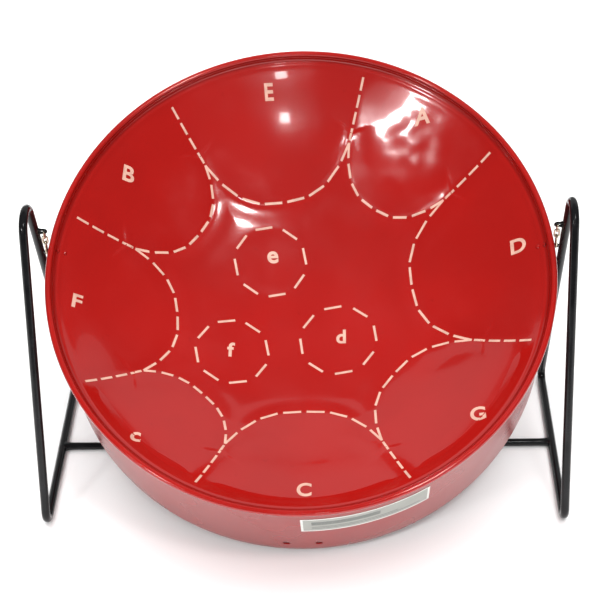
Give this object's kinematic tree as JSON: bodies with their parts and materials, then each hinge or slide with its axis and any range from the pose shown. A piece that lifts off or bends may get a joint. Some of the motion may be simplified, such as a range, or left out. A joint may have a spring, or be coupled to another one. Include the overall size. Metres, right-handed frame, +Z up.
{
  "type": "tabletop steel pan on stand",
  "caption": "Round hammered steel playing bowl with note outlines and letters, deep skirt and rolled rim, hung by short chains between two bent-rod side frames joined by a cross bar.",
  "frame": {"origin": "centre of the footprint, on the table", "axes": "+X to the player's right, +Y away from the player, +Z up"},
  "size_m": [0.429, 0.4037, 0.2848],
  "materials": {
    "pan_red": "gloss red enamel",
    "rod_black": "gloss black",
    "link_zinc": "bright plated wire",
    "marking": "pinkish cream paint",
    "label": "pale blank paper label"
  },
  "bodies": {
    "stand": {"left_side_frame": "rod_black", "right_side_frame": "rod_black", "cross_bar": "rod_black", "left_bar_weld": "rod_black", "right_bar_weld": "rod_black", "left_lug": "rod_black", "right_lug": "rod_black", "left_lug_weld": "rod_black", "right_lug_weld": "rod_black"},
    "left_chain": {"left_link_top": "link_zinc", "left_link_middle": "link_zinc", "left_link_bottom": "link_zinc"},
    "right_chain": {"right_link_top": "link_zinc", "right_link_middle": "link_zinc", "right_link_bottom": "link_zinc"},
    "pan": {"playing_bowl": "pan_red", "skirt": "pan_red", "rolled_rim": "pan_red", "skirt_label": "label", "left_hanger_eye": "rod_black", "right_hanger_eye": "rod_black", "left_eye_heads": "pan_red", "right_eye_heads": "pan_red", "divider_dashes": "marking", "outline_low_d": "marking", "outline_low_a": "marking", "outline_low_e": "marking", "outline_low_b": "marking", "outline_low_f": "marking", "outline_high_c": "marking", "outline_low_c": "marking", "outline_low_g": "marking", "outline_high_e": "marking", "outline_high_f": "marking", "outline_high_d": "marking", "letter_low_d": "marking", "letter_low_a": "marking", "letter_low_e": "marking", "letter_low_b": "marking", "letter_low_f": "marking", "letter_high_c": "marking", "letter_low_c": "marking", "letter_low_g": "marking", "letter_high_e": "marking", "letter_high_f": "marking", "letter_high_d": "marking"}
  },
  "joints": [
    {"name": "left_chain_swing", "type": "hinge", "parent": "stand", "child": "left_chain", "pos_m": [-0.204, -0.00222, 0.21206], "axis": [1, 0, 0], "range_deg": [-15, 1]},
    {"name": "right_chain_swing", "type": "hinge", "parent": "stand", "child": "right_chain", "pos_m": [0.204, -0.00222, 0.21206], "axis": [1, 0, 0], "range_deg": [-15, 1]},
    {"name": "pan_tilt", "type": "hinge", "parent": "left_chain", "child": "pan", "pos_m": [-0.204, -0.00222, 0.19396], "axis": [1, 0, 0], "range_deg": [-55, 1.2]}
  ],
  "couplings": [
    {"joint": "right_chain_swing", "follows": "left_chain_swing", "ratio": 1}
  ]
}
